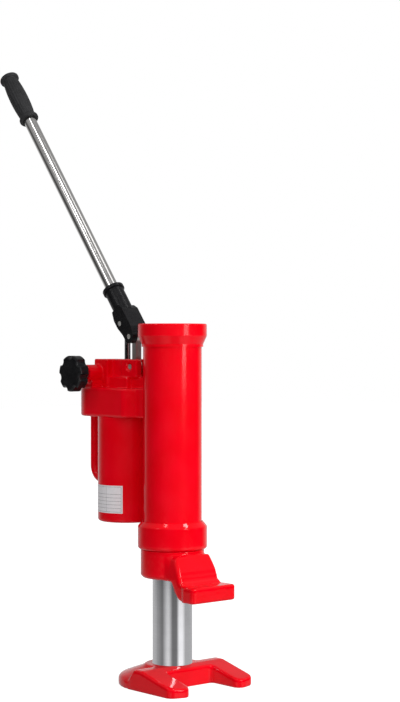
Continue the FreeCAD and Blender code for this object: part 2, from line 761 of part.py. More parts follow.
def make_pump_block():
    """The casting that joins the pump to the cylinder and closes the tank."""
    block = new_body("pump_block", y=s.pump_reach)

    neck_start = s.neck_start - s.pump_reach
    neck_shoulder = s.neck_shoulder - s.pump_reach
    half = s.flange_width / 2
    neck = s.neck_width / 2
    shoulders = [(-half, -s.flange_shoulder_front), (half, -s.flange_shoulder_front)]
    flange = new_sketch(block, "XY_Plane", block_bottom)
    draw_outline(flange, [
        (-neck, neck_start), (-neck, neck_shoulder), shoulders[0], (-half, s.flange_end_back),
        (half, s.flange_end_back), shoulders[1], (neck, neck_shoulder), (neck, neck_start)])
    pad(block, flange, s.flange_height)
    dress(block, "Fillet", s.flange_corner_radius, upright_at(*shoulders))
    add_round(block, "XY_Plane", ZERO, s.flange_end_back, s.flange_width, block_bottom,
              s.flange_height)
    dress(block, "Fillet", s.block_edge_radius, flange_rim_edges)
    for width, front, back in ((s.saddle_width, neck_start, -s.plinth_front),
                               (s.plinth_width, -s.plinth_front, s.waist_back)):
        base = new_sketch(block, "XY_Plane", flange_top)
        draw_outline(base, rectangle(width, front, back))
        pad(block, base, s.saddle_height)
    lug = s.lug_width / 2
    waist = s.waist_width / 2
    valve = s.valve_body_width / 2
    plinth = s.plinth_width / 2
    right = [(lug, -s.lug_front), (lug, -s.lug_end_front), (waist, -s.lug_end_front),
             (waist, s.waist_back), (valve, s.waist_back), (valve, s.valve_body_back)]
    left = [(-x, y) for x, y in reversed(right)]
    ledge = flange_top + s.saddle_height
    upper = new_sketch(block, "XY_Plane", ledge)
    draw_outline(upper, right + left)
    pad(block, upper, s.body_height - s.saddle_height)
    lower = new_sketch(block, "XY_Plane", flange_top)
    draw_outline(lower, rectangle(s.valve_body_width, s.waist_back, s.valve_body_back))
    pad(block, lower, s.saddle_height)
    dress(block, "Fillet", s.lug_nose_radius, lug_nose_edge)
    corners = right + left + [(-plinth, -s.plinth_front), (plinth, -s.plinth_front)]
    dress(block, "Fillet", s.block_corner_radius, upright_at(*corners))
    boss_root = s.valve_boss_reach - s.waist_width / 2
    add_round(block, "YZ_Plane", s.flange_end_back, valve_z, s.valve_boss_diameter,
              -s.valve_boss_reach, boss_root)
    web = new_sketch(block, "XY_Plane", flange_top)
    web_front = s.flange_end_back - s.valve_web_width / 2
    web_back = s.flange_end_back + s.valve_web_width / 2
    draw_outline(web, [(-s.valve_web_reach, web_front), (-waist, web_front), (-waist, web_back),
                       (-s.valve_web_reach, web_back)])
    pad(block, web, valve_z - flange_top)
    dress(block, "Fillet", s.block_top_radius, level_at(block_top))

    spigot = s.tank_diameter - s.tank_wall * 2 - fit_bore
    spigot_bottom = block_bottom - s.tank_spigot_depth
    add_round(block, "XY_Plane", ZERO, ZERO, spigot, spigot_bottom, s.tank_spigot_depth)
    seal_bottom = spigot_bottom + s.tank_seal_height
    seal_top = seal_bottom + s.tank_seal_height
    seal_floor = spigot / 2 - s.tank_seal_width
    revolve(block, ring_profile(seal_floor, s.tank_diameter / 2, seal_bottom, seal_top), "Groove")
    drill(block, "XY_Plane", ZERO, -s.pump_reach, s.tube_diameter + fit_bore, spigot_bottom,
          backward=True)

    slot = new_sketch(block, "XY_Plane", block_top)
    pin_y = -s.fulcrum_front
    draw_outline(slot, rectangle(s.link_width + s.side_gap * 2, neck_start,
                                 pin_y + s.link_foot_diameter / 2 + s.link_play))
    pocket(block, slot, s.link_slot_depth)
    drill(block, "YZ_Plane", pin_y, link_pin_z, s.pin_diameter + fit_bore, symmetric=True)
    for offset, backward in ((-lug, True), (lug, False)):
        drill(block, "YZ_Plane", pin_y, link_pin_z, s.pin_recess_diameter, offset,
              s.pin_recess_depth, backward=backward)

    bore_bottom = block_bottom + s.pump_bore_rise
    drill(block, "XY_Plane", ZERO, ZERO, s.gland_diameter + fit_bore, block_top, s.gland_height)
    seal_depth = s.gland_height + s.plunger_seal_height
    drill(block, "XY_Plane", ZERO, ZERO, s.plunger_seal_diameter + fit_bore, block_top, seal_depth)
    drill(block, "XY_Plane", ZERO, ZERO, s.plunger_diameter + running_bore, block_top,
          block_top - bore_bottom)
    drill(block, "XY_Plane", ZERO, ZERO, s.valve_chamber_diameter + fit_bore, spigot_bottom,
          bore_bottom - spigot_bottom, backward=True)
    drill(block, "XZ_Plane", ZERO, delivery_z, s.delivery_bore, backward=True)
    drill(block, "XZ_Plane", ZERO, delivery_z, s.valve_chamber_diameter + fit_bore,
          s.pump_reach - s.delivery_seat_reach, backward=True)
    drill(block, "YZ_Plane", s.flange_end_back, valve_z, s.needle_diameter + running_bore,
          -s.valve_boss_reach, s.valve_boss_reach - s.needle_seat_reach, backward=True)
    drill(block, "XY_Plane", s.filler_side, s.filler_back, s.filler_diameter + fit_bore, flange_top)
    drill(block, "YZ_Plane", s.relief_back, delivery_z, s.relief_diameter + fit_bore,
          half, s.relief_depth)


def lug_nose_edge(edge):
    """The upper front edge of the lug."""
    return level_at(block_top)(edge) and across_at(-s.lug_front)(edge)


def flange_rim_edges(edge):
    """The upper and lower rim of the flange, apart from the edges that end in the tube."""
    at_rim = level_at(flange_top)(edge) or level_at(block_bottom)(edge)
    start = s.neck_start.value - s.pump_reach.value
    return at_rim and not near(edge.BoundBox.YMin, start)


def make_tank():
    outer = s.tank_diameter / 2
    inner = outer - s.tank_wall
    bottom = block_bottom - s.tank_height
    tank = turned("oil_tank", [
        (ZERO, bottom), (outer, bottom), (outer, block_bottom), (inner, block_bottom),
        (inner, bottom + s.tank_floor), (ZERO, bottom + s.tank_floor)], y=s.pump_reach)
    dress(tank, "Fillet", s.tank_edge_radius, circle_at(s.tank_diameter, bottom))
    spigot_bottom = block_bottom - s.tank_spigot_depth
    seal_bottom = spigot_bottom + s.tank_seal_height
    seal_outer = inner - s.fit_clearance
    seal_inner = seal_outer - s.tank_seal_width
    turned("tank_seal", ring_profile(seal_inner, seal_outer, seal_bottom,
                                     seal_bottom + s.tank_seal_height), y=s.pump_reach)


def make_valves():
    """The suction and delivery valves, the strainer, and the plugs on the block."""
    pump = {"y": s.pump_reach}
    spigot_bottom = block_bottom - s.tank_spigot_depth
    chamber = s.valve_chamber_diameter / 2
    seat_bottom = spigot_bottom + s.strainer_socket
    seat_top = seat_bottom + s.inlet_seat_height
    seat_bore = s.valve_seat_bore / 2
    ball = s.valve_ball_diameter / 2
    turned("suction_strainer", ring_profile(
        s.strainer_bore / 2, s.strainer_diameter / 2, seat_bottom - s.strainer_length,
        seat_bottom), **pump)
    turned("inlet_seat", ring_profile(seat_bore, chamber, seat_bottom, seat_top), **pump)
    rise = Size(math.sqrt(ball.value ** 2 - seat_bore.value ** 2),
                f"sqrt({ball.text} ^ 2 - {seat_bore.text} ^ 2)")
    make_ball("inlet_ball", ball, s.pump_reach, seat_top + rise + s.fit_clearance)
    delivery_seat = s.delivery_seat_reach
    delivery_rise = Size(math.sqrt(ball.value ** 2 - (s.delivery_bore.value / 2) ** 2),
                         f"sqrt({ball.text} ^ 2 - ({s.delivery_bore.text} / 2) ^ 2)")
    make_ball("delivery_ball", ball, delivery_seat - delivery_rise - s.fit_clearance, delivery_z)
    cage_end = delivery_seat - ball * 2 - s.delivery_lift
    cage = ring_profile(seat_bore, chamber, ZERO, s.delivery_retainer_length)
    turned("delivery_retainer", cage, y=cage_end, z=delivery_z, axis=Vector(1, 0, 0),
           angle=Size(90))
    turned("plunger_seal", ring_profile(
        s.plunger_diameter / 2 + s.running_clearance, s.plunger_seal_diameter / 2,
        block_top - s.gland_height - s.plunger_seal_height, block_top - s.gland_height), **pump)
    turned("plunger_gland", ring_profile(
        s.plunger_diameter / 2 + s.running_clearance, s.gland_diameter / 2,
        block_top - s.gland_height, block_top), **pump)
    filler = turned("filler_plug", [
        (ZERO, flange_top - s.filler_shank), (s.filler_diameter / 2, flange_top - s.filler_shank),
        (s.filler_diameter / 2, flange_top), (s.filler_head_diameter / 2, flange_top),
        (s.filler_head_diameter / 2, flange_top + s.filler_head_height),
        (ZERO, flange_top + s.filler_head_height)], x=s.filler_side,
        y=s.pump_reach + s.filler_back)
    hex_pocket(filler, s.filler_hex_flats, flange_top + s.filler_head_height,
               s.filler_head_height)
    relief = new_body("relief_valve_plug", x=s.flange_width / 2, y=s.pump_reach + s.relief_back,
                      z=delivery_z, axis=Vector(0, 1, 0), angle=Size(90))
    add_round(relief, "XY_Plane", ZERO, ZERO, s.relief_diameter, s.relief_inset - s.relief_depth,
              s.relief_depth - s.relief_inset * 2)
    hex_pocket(relief, s.relief_hex_flats, -s.relief_inset, s.relief_depth / 2)


def make_ball(label, radius, y, z):
    ball = doc.addObject("Part::Sphere", label)
    ball.Label = label
    ball.setExpression("Radius", radius.text)
    ball.setExpression("Placement.Base.y", y.text)
    ball.setExpression("Placement.Base.z", z.text)
    nodes[label] = ball


# Release valve, drawn about its own axis, which points out to -X

def make_release_valve():
    seat = {"x": -s.valve_boss_reach, "y": s.pump_reach + s.flange_end_back, "z": valve_z,
            "axis": Vector(0, 1, 0), "angle": Size(-90)}
    needle = s.needle_diameter / 2
    nut_end = s.valve_nut_height
    knob_back = nut_end + s.knob_gap
    knob_face = knob_back + s.knob_hub_height + s.knob_thickness
    tip = s.needle_seat_reach - s.valve_boss_reach + s.running_clearance
    knob_floor = knob_face - s.knob_face_thickness
    turned("release_spindle", [
        (ZERO, tip), (needle, tip + s.needle_tip_length), (needle, knob_floor),
        (ZERO, knob_floor)], **seat)
    nut = new_body("release_gland", **seat)
    plan = new_sketch(nut, "XY_Plane")
    draw_outline(plan, hexagon(s.valve_nut_flats))
    pad(nut, plan, s.valve_nut_height)
    drill(nut, "XY_Plane", ZERO, ZERO, s.needle_diameter + running_bore, backward=True)

    knob = new_body("release_knob", **seat)
    add_round(knob, "XY_Plane", ZERO, ZERO, s.knob_hub_diameter, knob_back,
              s.knob_hub_height + s.knob_edge_radius)
    add_round(knob, "XY_Plane", ZERO, ZERO, s.knob_diameter, knob_back + s.knob_hub_height,
              s.knob_thickness)
    scallop = new_sketch(knob, "XY_Plane", knob_face)
    draw_circle(scallop, s.knob_diameter / 2 + s.knob_scallop_out, ZERO, s.knob_scallop_diameter)
    first = pocket(knob, scallop, s.knob_thickness)
    polar_pattern(knob, first, scallop, KNOB_LOBES)
    dress(knob, "Fillet", s.knob_edge_radius, level_at(knob_face))
    dress(knob, "Fillet", s.knob_edge_radius / 2,
          circle_at(s.knob_diameter, knob_back + s.knob_hub_height))
    drill(knob, "XY_Plane", ZERO, ZERO, s.needle_diameter + fit_bore, knob_back,
          knob_floor - knob_back, backward=True)
    screw_height = knob_back + s.knob_hub_height / 2 + s.knob_screw_diameter / 2
    drill(knob, "XZ_Plane", ZERO, screw_height, s.knob_screw_diameter + fit_bore, -needle)
    grub = new_body("knob_grub_screw", **seat)
    add_round(grub, "XZ_Plane", ZERO, screw_height, s.knob_screw_diameter,
              -(s.knob_hub_diameter / 2 - s.running_clearance),
              s.knob_hub_diameter / 2 - needle - running_bore)


# Carry handle

def make_carry_handle():
    """A bar down from the flange that bends in to meet the tank."""
    radius = s.carry_bar_diameter / 2
    bend_z = block_bottom - s.carry_bar_drop + s.carry_bend_radius
    bar_y = s.pump_reach + s.carry_bar_back
    bend_y = bar_y - s.carry_bend_radius
    upright = doc.addObject("Part::Cylinder", "carry_upright")
    upright.setExpression("Radius", radius.text)
    upright.setExpression("Height", (block_bottom - bend_z).text)
    upright.setExpression("Placement.Base.y", bar_y.text)
    upright.setExpression("Placement.Base.z", bend_z.text)
    bend = doc.addObject("Part::Torus", "carry_bend")
    bend.setExpression("Radius1", s.carry_bend_radius.text)
    bend.setExpression("Radius2", radius.text)
    bend.Angle3 = 90
    down_to_back = Rotation(Vector(0, 0, -1), Vector(0, 1, 0), Vector(1, 0, 0), "XYZ")
    bend.Placement = Placement(Vector(0, 0, 0), down_to_back)
    bend.setExpression("Placement.Base.y", bend_y.text)
    bend.setExpression("Placement.Base.z", bend_z.text)
    arm = doc.addObject("Part::Cylinder", "carry_arm")
    arm.setExpression("Radius", radius.text)
    arm.setExpression("Height", (bend_y - s.pump_reach).text)
    arm.Placement = Placement(Vector(0, 0, 0), Rotation(Vector(1, 0, 0), -90))
    arm.setExpression("Placement.Base.y", s.pump_reach.text)
    arm.setExpression("Placement.Base.z", (block_bottom - s.carry_bar_drop).text)
    bar = doc.addObject("Part::MultiFuse", "carry_bar")
    bar.Shapes = [upright, bend, arm]
    tank = doc.addObject("Part::Cylinder", "carry_tank_room")
    tank.setExpression("Radius", (s.tank_diameter / 2 + s.fit_clearance).text)
    tank.setExpression("Height", s.tank_height.text)
    tank.setExpression("Placement.Base.y", s.pump_reach.text)
    tank.setExpression("Placement.Base.z", (block_bottom - s.tank_height).text)
    handle = doc.addObject("Part::Cut", "carry_handle")
    handle.Label = "carry_handle"
    handle.Base = bar
    handle.Tool = tank
    nodes["carry_handle"] = handle


# Plunger, link and pins

def make_linkage():
    plunger = new_body("pump_plunger", y=s.pump_reach)
    rod_bottom = block_bottom + s.plunger_end_rise
    add_round(plunger, "XY_Plane", ZERO, ZERO, s.plunger_diameter, rod_bottom, pin_z - rod_bottom)
    add_round(plunger, "YZ_Plane", ZERO, pin_z, s.plunger_eye_diameter, ZERO, s.plunger_eye_width,
              symmetric=True)
    drill(plunger, "YZ_Plane", ZERO, pin_z, s.pin_diameter + running_bore, symmetric=True)

    fulcrum_y = s.pump_reach - s.fulcrum_front
    link = new_body("fulcrum_link", y=fulcrum_y)
    bar = new_sketch(link, "YZ_Plane")
    half = s.link_depth / 2
    draw_outline(bar, [(-half, link_pin_z), (half, link_pin_z), (half, fulcrum_z),
                       (-half, fulcrum_z)])
    pad(link, bar, s.link_width, symmetric=True)
    for height, eye in ((fulcrum_z, s.link_eye_diameter), (link_pin_z, s.link_foot_diameter)):
        add_round(link, "YZ_Plane", ZERO, height, eye, ZERO, s.link_width, symmetric=True)
    drill(link, "YZ_Plane", ZERO, fulcrum_z, s.pin_diameter + running_bore, symmetric=True)
    drill(link, "YZ_Plane", s.link_play_back, link_pin_z - s.link_play_down,
          s.pin_diameter + s.link_play * 2, symmetric=True)

    pin = new_body("link_pin", y=fulcrum_y, z=link_pin_z)
    length = s.lug_width - s.pin_recess_depth * 2 + s.fit_clearance * 2
    add_round(pin, "YZ_Plane", ZERO, ZERO, s.pin_diameter, ZERO, length, symmetric=True)


# Handle socket and lever, drawn along the lever with their zero on the plunger pin

def make_lever():
    lean = Size(90) - s.lever_angle
    seat = {"y": s.pump_reach, "z": pin_z, "axis": Vector(-1, 0, 0), "angle": lean}
    drop = pin_z - fulcrum_z
    cos_lean = cosine(lean)
    sin_lean = sine(lean)
    fulcrum_y = drop * sin_lean - s.fulcrum_front * cos_lean
    fulcrum_u = -(s.fulcrum_front * sin_lean + drop * cos_lean)
    nose = s.yoke_nose_diameter / 2
    axis_y = -s.lever_offset

    socket = new_body("handle_socket", **seat)
    side = new_sketch(socket, "YZ_Plane")
    draw_outline(side, [
        (s.yoke_under, -s.yoke_cheek_drop), (s.yoke_under, s.yoke_under_shoulder),
        (s.yoke_under / 2, s.yoke_top), (-(s.yoke_over - s.yoke_under / 2), s.yoke_top),
        (-s.yoke_over, s.yoke_shoulder), (-s.yoke_over, fulcrum_u + nose),
        (fulcrum_y - nose, fulcrum_u), (fulcrum_y + nose, fulcrum_u),
        (fulcrum_y + nose, fulcrum_u + nose)])
    pad(socket, side, s.yoke_width, symmetric=True)
    dress(socket, "Fillet", s.block_edge_radius, yoke_bend_edges(fulcrum_y + nose,
                                                                 fulcrum_u + nose))
    add_round(socket, "YZ_Plane", fulcrum_y, fulcrum_u, s.yoke_nose_diameter, ZERO, s.yoke_width,
              symmetric=True)
    add_round(socket, "XY_Plane", ZERO, axis_y, s.socket_diameter, s.yoke_shoulder,
              s.socket_length - s.yoke_shoulder)
    add_round(socket, "XY_Plane", ZERO, axis_y, s.socket_rim_diameter,
              s.socket_length - s.socket_rim_height, s.socket_rim_height)
    drill(socket, "XY_Plane", ZERO, axis_y, s.lever_diameter + running_bore, s.socket_length,
          s.socket_length - s.socket_floor)
    slot = new_sketch(socket, "YZ_Plane")
    low = fulcrum_u - s.yoke_nose_diameter
    wide = s.yoke_under + s.yoke_nose_diameter
    draw_outline(slot, [(wide, low), (wide, s.yoke_slot_top),
                        (-s.yoke_slot_back, s.yoke_slot_top), (-s.yoke_slot_back, low)])
    pocket(socket, slot, s.yoke_slot_width, symmetric=True)
    for y, u in ((ZERO, ZERO), (fulcrum_y, fulcrum_u)):
        drill(socket, "YZ_Plane", y, u, s.pin_diameter + fit_bore, symmetric=True)

    cheek = s.yoke_width / 2
    shank = s.yoke_width + s.pin_overhang
    for label, y, u in (("plunger_pin", ZERO, ZERO), ("fulcrum_pin", fulcrum_y, fulcrum_u)):
        pin = new_body(label, **seat)
        add_round(pin, "YZ_Plane", y, u, s.pin_diameter, -cheek, shank)
    clips = []
    for name, y, u in (("upper_clip", ZERO, ZERO), ("lower_clip", fulcrum_y, fulcrum_u)):
        clips.append(make_clip(name, y, u, cheek + s.fit_clearance, seat))
    group = doc.addObject("Part::Compound", "pin_circlips")
    group.Label = "pin_circlips"
    group.Links = clips
    nodes["pin_circlips"] = group

    lever_seat = s.socket_floor + s.swivel_gap
    tube = new_body("lever_tube", **seat)
    add_round(tube, "XY_Plane", ZERO, axis_y, s.lever_diameter, lever_seat, s.lever_length)
    drill(tube, "XY_Plane", ZERO, axis_y, s.lever_diameter - s.lever_wall * 2, lever_seat,
          backward=True)
    lever_end = lever_seat + s.lever_length
    make_grip(seat, axis_y, lever_end)


def make_clip(name, y, u, offset, seat):
    """A retaining ring on the free end of a yoke pin."""
    clip = new_body(name, **seat)
    del nodes[name]
    add_round(clip, "YZ_Plane", y, u, s.circlip_diameter, offset, s.circlip_thickness)
    drill(clip, "YZ_Plane", y, u, s.pin_diameter + fit_bore, offset, s.circlip_thickness,
          backward=True)
    return clip


def make_grip(seat, axis_y, lever_end):
    """A barrelled rubber sleeve with a flange at each end, closed over the tube's end."""
    grip = new_body("lever_grip", **seat)
    top = lever_end + s.grip_end_wall
    bottom = top - s.grip_length
    neck = s.grip_neck_diameter / 2
    flange = s.grip_flange_diameter / 2
    lower_neck = bottom + s.grip_flange_length
    upper_neck = top - s.grip_flange_length - s.grip_dome
    profile = new_sketch(grip, "YZ_Plane")
    draw_outline(profile, [
        (axis_y, bottom), (axis_y + flange, bottom), (axis_y + flange, lower_neck),
        (axis_y + neck, lower_neck, s.grip_belly), (axis_y + neck, upper_neck),
        (axis_y + flange, upper_neck), (axis_y + flange, top - s.grip_dome), (axis_y, top)])
    sleeve = grip.newObject("PartDesign::Revolution", "lever_grip_revolution")
    sleeve.Profile = profile
    sleeve.ReferenceAxis = (profile, ["Edge8"])
    dress(grip, "Fillet", s.grip_edge_radius, grip_flange_edges(flange))
    drill(grip, "XY_Plane", ZERO, axis_y, s.lever_diameter + fit_bore, bottom,
          s.grip_length - s.grip_end_wall, backward=True)


def grip_flange_edges(radius):
    """Chooses the rims of the two flanges."""
    def choose(edge):
        return isinstance(edge.Curve, Part.Circle) and near(edge.Curve.Radius, radius.value)
    return choose


def yoke_bend_edges(y, u):
    """Chooses the inner bend between the yoke's cheek and its nose."""
    def choose(edge):
        box = edge.BoundBox
        return box.XLength > 1 and near(box.YMin, y.value) and near(box.ZMin, u.value)
    return choose


make_foot()
make_ram()
make_toe()
make_gland()
make_cylinder()
make_pump_block()
make_tank()
make_valves()
make_release_valve()
make_carry_handle()
make_linkage()
make_lever()
doc.recompute()

for item in doc.Objects:
    if "Invalid" in item.State or "Error" in item.State:
        raise RuntimeError(f"{item.Label} did not build: {item.State}")
for label, item in nodes.items():
    if item.Shape.isNull() or not item.Shape.isValid() or not item.Shape.Solids:
        raise RuntimeError(f"{label} is not a sound solid")

os.makedirs("parts", exist_ok=True)
for label, item in nodes.items():
    item.Shape.exportStep(f"parts/{label}.step")
print(f"{len(nodes)} pieces")
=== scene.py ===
import json
import math

import bmesh
import bpy
from mathutils import Matrix, Vector


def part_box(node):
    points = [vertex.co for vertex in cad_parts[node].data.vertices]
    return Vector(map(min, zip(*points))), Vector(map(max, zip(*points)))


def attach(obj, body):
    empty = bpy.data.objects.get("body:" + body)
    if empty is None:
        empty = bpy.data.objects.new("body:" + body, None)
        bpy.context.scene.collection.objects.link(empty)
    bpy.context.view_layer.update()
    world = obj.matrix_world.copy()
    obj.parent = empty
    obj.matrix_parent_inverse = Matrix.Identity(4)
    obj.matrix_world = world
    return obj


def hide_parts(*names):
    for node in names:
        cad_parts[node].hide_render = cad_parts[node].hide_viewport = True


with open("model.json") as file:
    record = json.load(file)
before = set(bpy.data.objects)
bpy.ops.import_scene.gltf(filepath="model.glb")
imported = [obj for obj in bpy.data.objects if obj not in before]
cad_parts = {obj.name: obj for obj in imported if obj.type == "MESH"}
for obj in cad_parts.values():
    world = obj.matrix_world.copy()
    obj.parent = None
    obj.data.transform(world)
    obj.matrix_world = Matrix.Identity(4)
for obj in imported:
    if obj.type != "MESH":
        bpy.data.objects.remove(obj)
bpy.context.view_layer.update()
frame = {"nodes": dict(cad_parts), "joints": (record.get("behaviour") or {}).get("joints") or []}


# The foot is a grey iron casting with two legs and a round flange, fettled along its edges and
# sprayed with gloss red enamel. It stands flat on the floor and holds the ram's spigot in its hub.
def new_finish(name):
    """A node material: its tree, its shader, and places on the piece in metres."""
    finish = bpy.data.materials.new(name)
    finish.use_nodes = True
    tree = finish.node_tree
    place = tree.nodes.new("ShaderNodeTexCoord").outputs["Object"]
    return finish, tree, tree.nodes["Principled BSDF"], place


def grain(tree, place, size, detail=2.0, tilt=0.0):
    """Patches that measure size in metres, or sizes along x, y and z, tilted about x."""
    lay = tree.nodes.new("ShaderNodeMapping")
    lay.vector_type = "TEXTURE"
    lay.inputs["Rotation"].default_value = (tilt, 0, 0)
    lay.inputs["Scale"].default_value = size if isinstance(size, tuple) else (size, size, size)
    patches = tree.nodes.new("ShaderNodeTexNoise")
    patches.inputs["Scale"].default_value = 1
    patches.inputs["Detail"].default_value = detail
    tree.links.new(place, lay.inputs["Vector"])
    tree.links.new(lay.outputs["Vector"], patches.inputs["Vector"])
    return patches.outputs["Fac"]


def spread(tree, patches, low, high, start=0.3, end=0.7):
    """A number that goes from low to high as the patches go from start to end."""
    scale = tree.nodes.new("ShaderNodeMapRange")
    scale.inputs["From Min"].default_value = start
    scale.inputs["From Max"].default_value = end
    scale.inputs["To Min"].default_value = low
    scale.inputs["To Max"].default_value = high
    tree.links.new(patches, scale.inputs["Value"])
    return scale.outputs["Result"]


def two_shades(tree, shader, amount, first, second):
    """Colours the surface between two shades, by amount."""
    mix = tree.nodes.new("ShaderNodeMix")
    mix.data_type = "RGBA"
    tree.links.new(amount, mix.inputs["Factor"])
    for socket, shade in zip(mix.inputs[6:8], (first, second)):
        socket.default_value = (*shade, 1)
    tree.links.new(mix.outputs[2], shader.inputs["Base Color"])


def coat(tree, shader, shading, shades, dulling, roughness):
    """Goes from one shade and one roughness to another, each by patches of its own."""
    two_shades(tree, shader, spread(tree, shading, 0, 1), *shades)
    tree.links.new(spread(tree, dulling, *roughness), shader.inputs["Roughness"])


def relief(tree, shader, *layers):
    """Raises the surface by layers of patches, each with its depth in metres."""
    below = None
    for patches, depth in layers:
        bump = tree.nodes.new("ShaderNodeBump")
        bump.inputs["Strength"].default_value = 1
        bump.inputs["Distance"].default_value = depth
        tree.links.new(patches, bump.inputs["Height"])
        if below:
            tree.links.new(below, bump.inputs["Normal"])
        below = bump.outputs["Normal"]
    tree.links.new(below, shader.inputs["Normal"])


def red_enamel(name, lump_size, lump_depth, roughness=(0.12, 0.18)):
    """Gloss red enamel: shade that drifts a little, orange peel, and the metal's lumps below."""
    finish, tree, shader, place = new_finish(name)
    shades = ((0.86, 0.0, 0.006), (0.93, 0.001, 0.012))
    drift = grain(tree, place, size=0.05)
    lumps = grain(tree, place, lump_size, detail=3)
    peel, peel_depth = grain(tree, place, size=0.0018, detail=1), 0.000012
    coat(tree, shader, drift, shades, lumps, roughness)
    shader.inputs["Specular IOR Level"].default_value = 0.2
    relief(tree, shader, (lumps, lump_depth), (peel, peel_depth))
    return finish


def finish_nodes(finish, *names):
    """Gives the finish to the CAD pieces of those names."""
    for name in names:
        frame["nodes"][name].material_slots[0].material = finish


def rounded_casting(name, node, cell, rubs, reshape=None, rub_strength=0.5):
    """A copy of a CAD casting with its edges rounded as moulding sand leaves them."""
    rough = bpy.data.objects.new(name, frame["nodes"][node].data.copy())
    bpy.context.scene.collection.objects.link(rough)
    skin = rough.modifiers.new("skin", "REMESH")
    skin.mode = "VOXEL"
    skin.voxel_size = cell
    rubbing = rough.modifiers.new("rubbing", "SMOOTH")
    rubbing.factor = rub_strength
    rubbing.iterations = rubs
    rubbed = rough.evaluated_get(bpy.context.evaluated_depsgraph_get())
    data = bpy.data.meshes.new_from_object(rubbed)
    bpy.data.objects.remove(rough)
    low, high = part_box(node)
    for point in data.vertices:
        place = reshape(point.co) if reshape else point.co
        point.co = [min(max(place[i], low[i]), high[i]) for i in range(3)]
    data.polygons.foreach_set("use_smooth", [True] * len(data.polygons))
    casting = bpy.data.objects.new(name, data)
    bpy.context.scene.collection.objects.link(casting)
    data.materials.clear()
    return casting


foot_enamel = red_enamel("foot_enamel", lump_size=0.010, lump_depth=0.00016, roughness=(0.06, 0.1))
foot_casting = rounded_casting("foot_casting", "foot", cell=0.0019, rubs=6)
foot_casting.data.materials.append(foot_enamel)
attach(foot_casting, "foot")
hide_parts("foot")
# The ram above it mirrors the room and not the red legs, as in the photo.
foot_casting.visible_glossy = False


# The ram is a ground steel bar with hard chrome, which stands still while the cylinder climbs it.
# The grinding wheel leaves very fine rings round it.
def plated_bar(name, shades, roughness, line_size, line_depth, tilt=0.0):
    """Bright metal with fine lines of the given size along x, y and z."""
    finish, tree, shader, place = new_finish(name)
    lines = grain(tree, place, line_size, detail=3, tilt=tilt)
    cloud = grain(tree, place, size=0.03)
    coat(tree, shader, lines, shades, cloud, roughness)
    shader.inputs["Metallic"].default_value = 1
    relief(tree, shader, (lines, line_depth))
    return finish


chrome_shades = ((0.60, 0.60, 0.62), (0.68, 0.68, 0.70))
ram_chrome = plated_bar("ram_chrome", chrome_shades, roughness=(0.08, 0.13),
                        line_size=(0.2, 0.2, 0.0006), line_depth=0.000002)
finish_nodes(ram_chrome, "ram")


# Inside the cylinder the ram ends in a ported iron piston with a brown guide ring of cloth and
# resin, held by a hexagon nut. They steer the cylinder and stop it at the top of its stroke.
iron_shades = ((0.20, 0.20, 0.20), (0.30, 0.30, 0.29))
piston_iron = plated_bar("piston_iron", iron_shades, roughness=(0.4, 0.55),
                         line_size=(0.1, 0.1, 0.0008), line_depth=0.00001)
finish_nodes(piston_iron, "guide_piston")


def woven_resin(name):
    """Brown resin with the weave of the cloth inside it."""
    finish, tree, shader, place = new_finish(name)
    shades = ((0.24, 0.13, 0.05), (0.38, 0.24, 0.11))
    thread_width, thread_length, thread_depth = 0.0008, 0.006, 0.00005
    warp = grain(tree, place, (thread_width, thread_width, thread_length), detail=1)
    weft = grain(tree, place, (thread_length, thread_length, thread_width), detail=1)
    coat(tree, shader, warp, shades, weft, roughness=(0.5, 0.7))
    relief(tree, shader, (warp, thread_depth), (weft, thread_depth))
    return finish


finish_nodes(woven_resin("guide_ring_resin"), "piston_guide_ring")
steel_shades = ((0.42, 0.42, 0.42), (0.56, 0.56, 0.55))
turned_steel = plated_bar("turned_steel", steel_shades, roughness=(0.28, 0.42),
                          line_size=(0.1, 0.1, 0.0007), line_depth=0.000008)
finish_nodes(turned_steel, "piston_nut")


# The toe is a steel casting with a ring round the collar's spigot and a lip that goes under the
# load. Its skin is coarser than the foot's, and the red enamel lies in the same gloss over it.
ring_radius, neck_clear, neck_bottom, neck_top, neck_taper = 0.0495, 0.006, 0.168, 0.2035, 0.15


def taper_neck(place):
    """Draws the neck in towards its top, and leaves the ring and the lip as they are."""
    up = min(max((place.z - neck_bottom) / (neck_top - neck_bottom), 0), 1)
    out = min(max((math.hypot(place.x, place.y) - ring_radius) / neck_clear, 0), 1)
    return Vector((place.x * (1 - neck_taper * up * up * out), place.y, place.z))


spigot_radius, spigot_gap, nut_gap, recess_relief = 0.0400, 0.0004, 0.00055, 0.0027
nut_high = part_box("toe_retaining_nut")[1]
bore_radius = spigot_radius + spigot_gap
recess_radius, recess_top = nut_high[0] + nut_gap, nut_high[2] + recess_relief


def out_to(place, radius):
    """The point at that distance from the ram's axis, in the same direction and as high."""
    scale = radius / math.hypot(place.x, place.y)
    return Vector((place.x * scale, place.y * scale, place.z))


def shape_toe(place):
    """Tapers the neck, and keeps the rounding off the spigot and the nut that turn in the ring."""
    place = taper_neck(place)
    reach = math.hypot(place.x, place.y)
    if place.z < recess_top and reach < recess_radius:
        if recess_top - place.z < recess_radius - reach:
            place.z = recess_top
        else:
            return out_to(place, recess_radius)
    return out_to(place, bore_radius) if reach < bore_radius else place


toe_enamel = red_enamel("toe_enamel", lump_size=0.009, lump_depth=0.00016, roughness=(0.06, 0.1))
toe_casting = rounded_casting("toe_casting", "toe", cell=0.0013, rubs=3, reshape=shape_toe)
toe_casting.data.materials.append(toe_enamel)
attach(toe_casting, "toe")
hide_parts("toe")


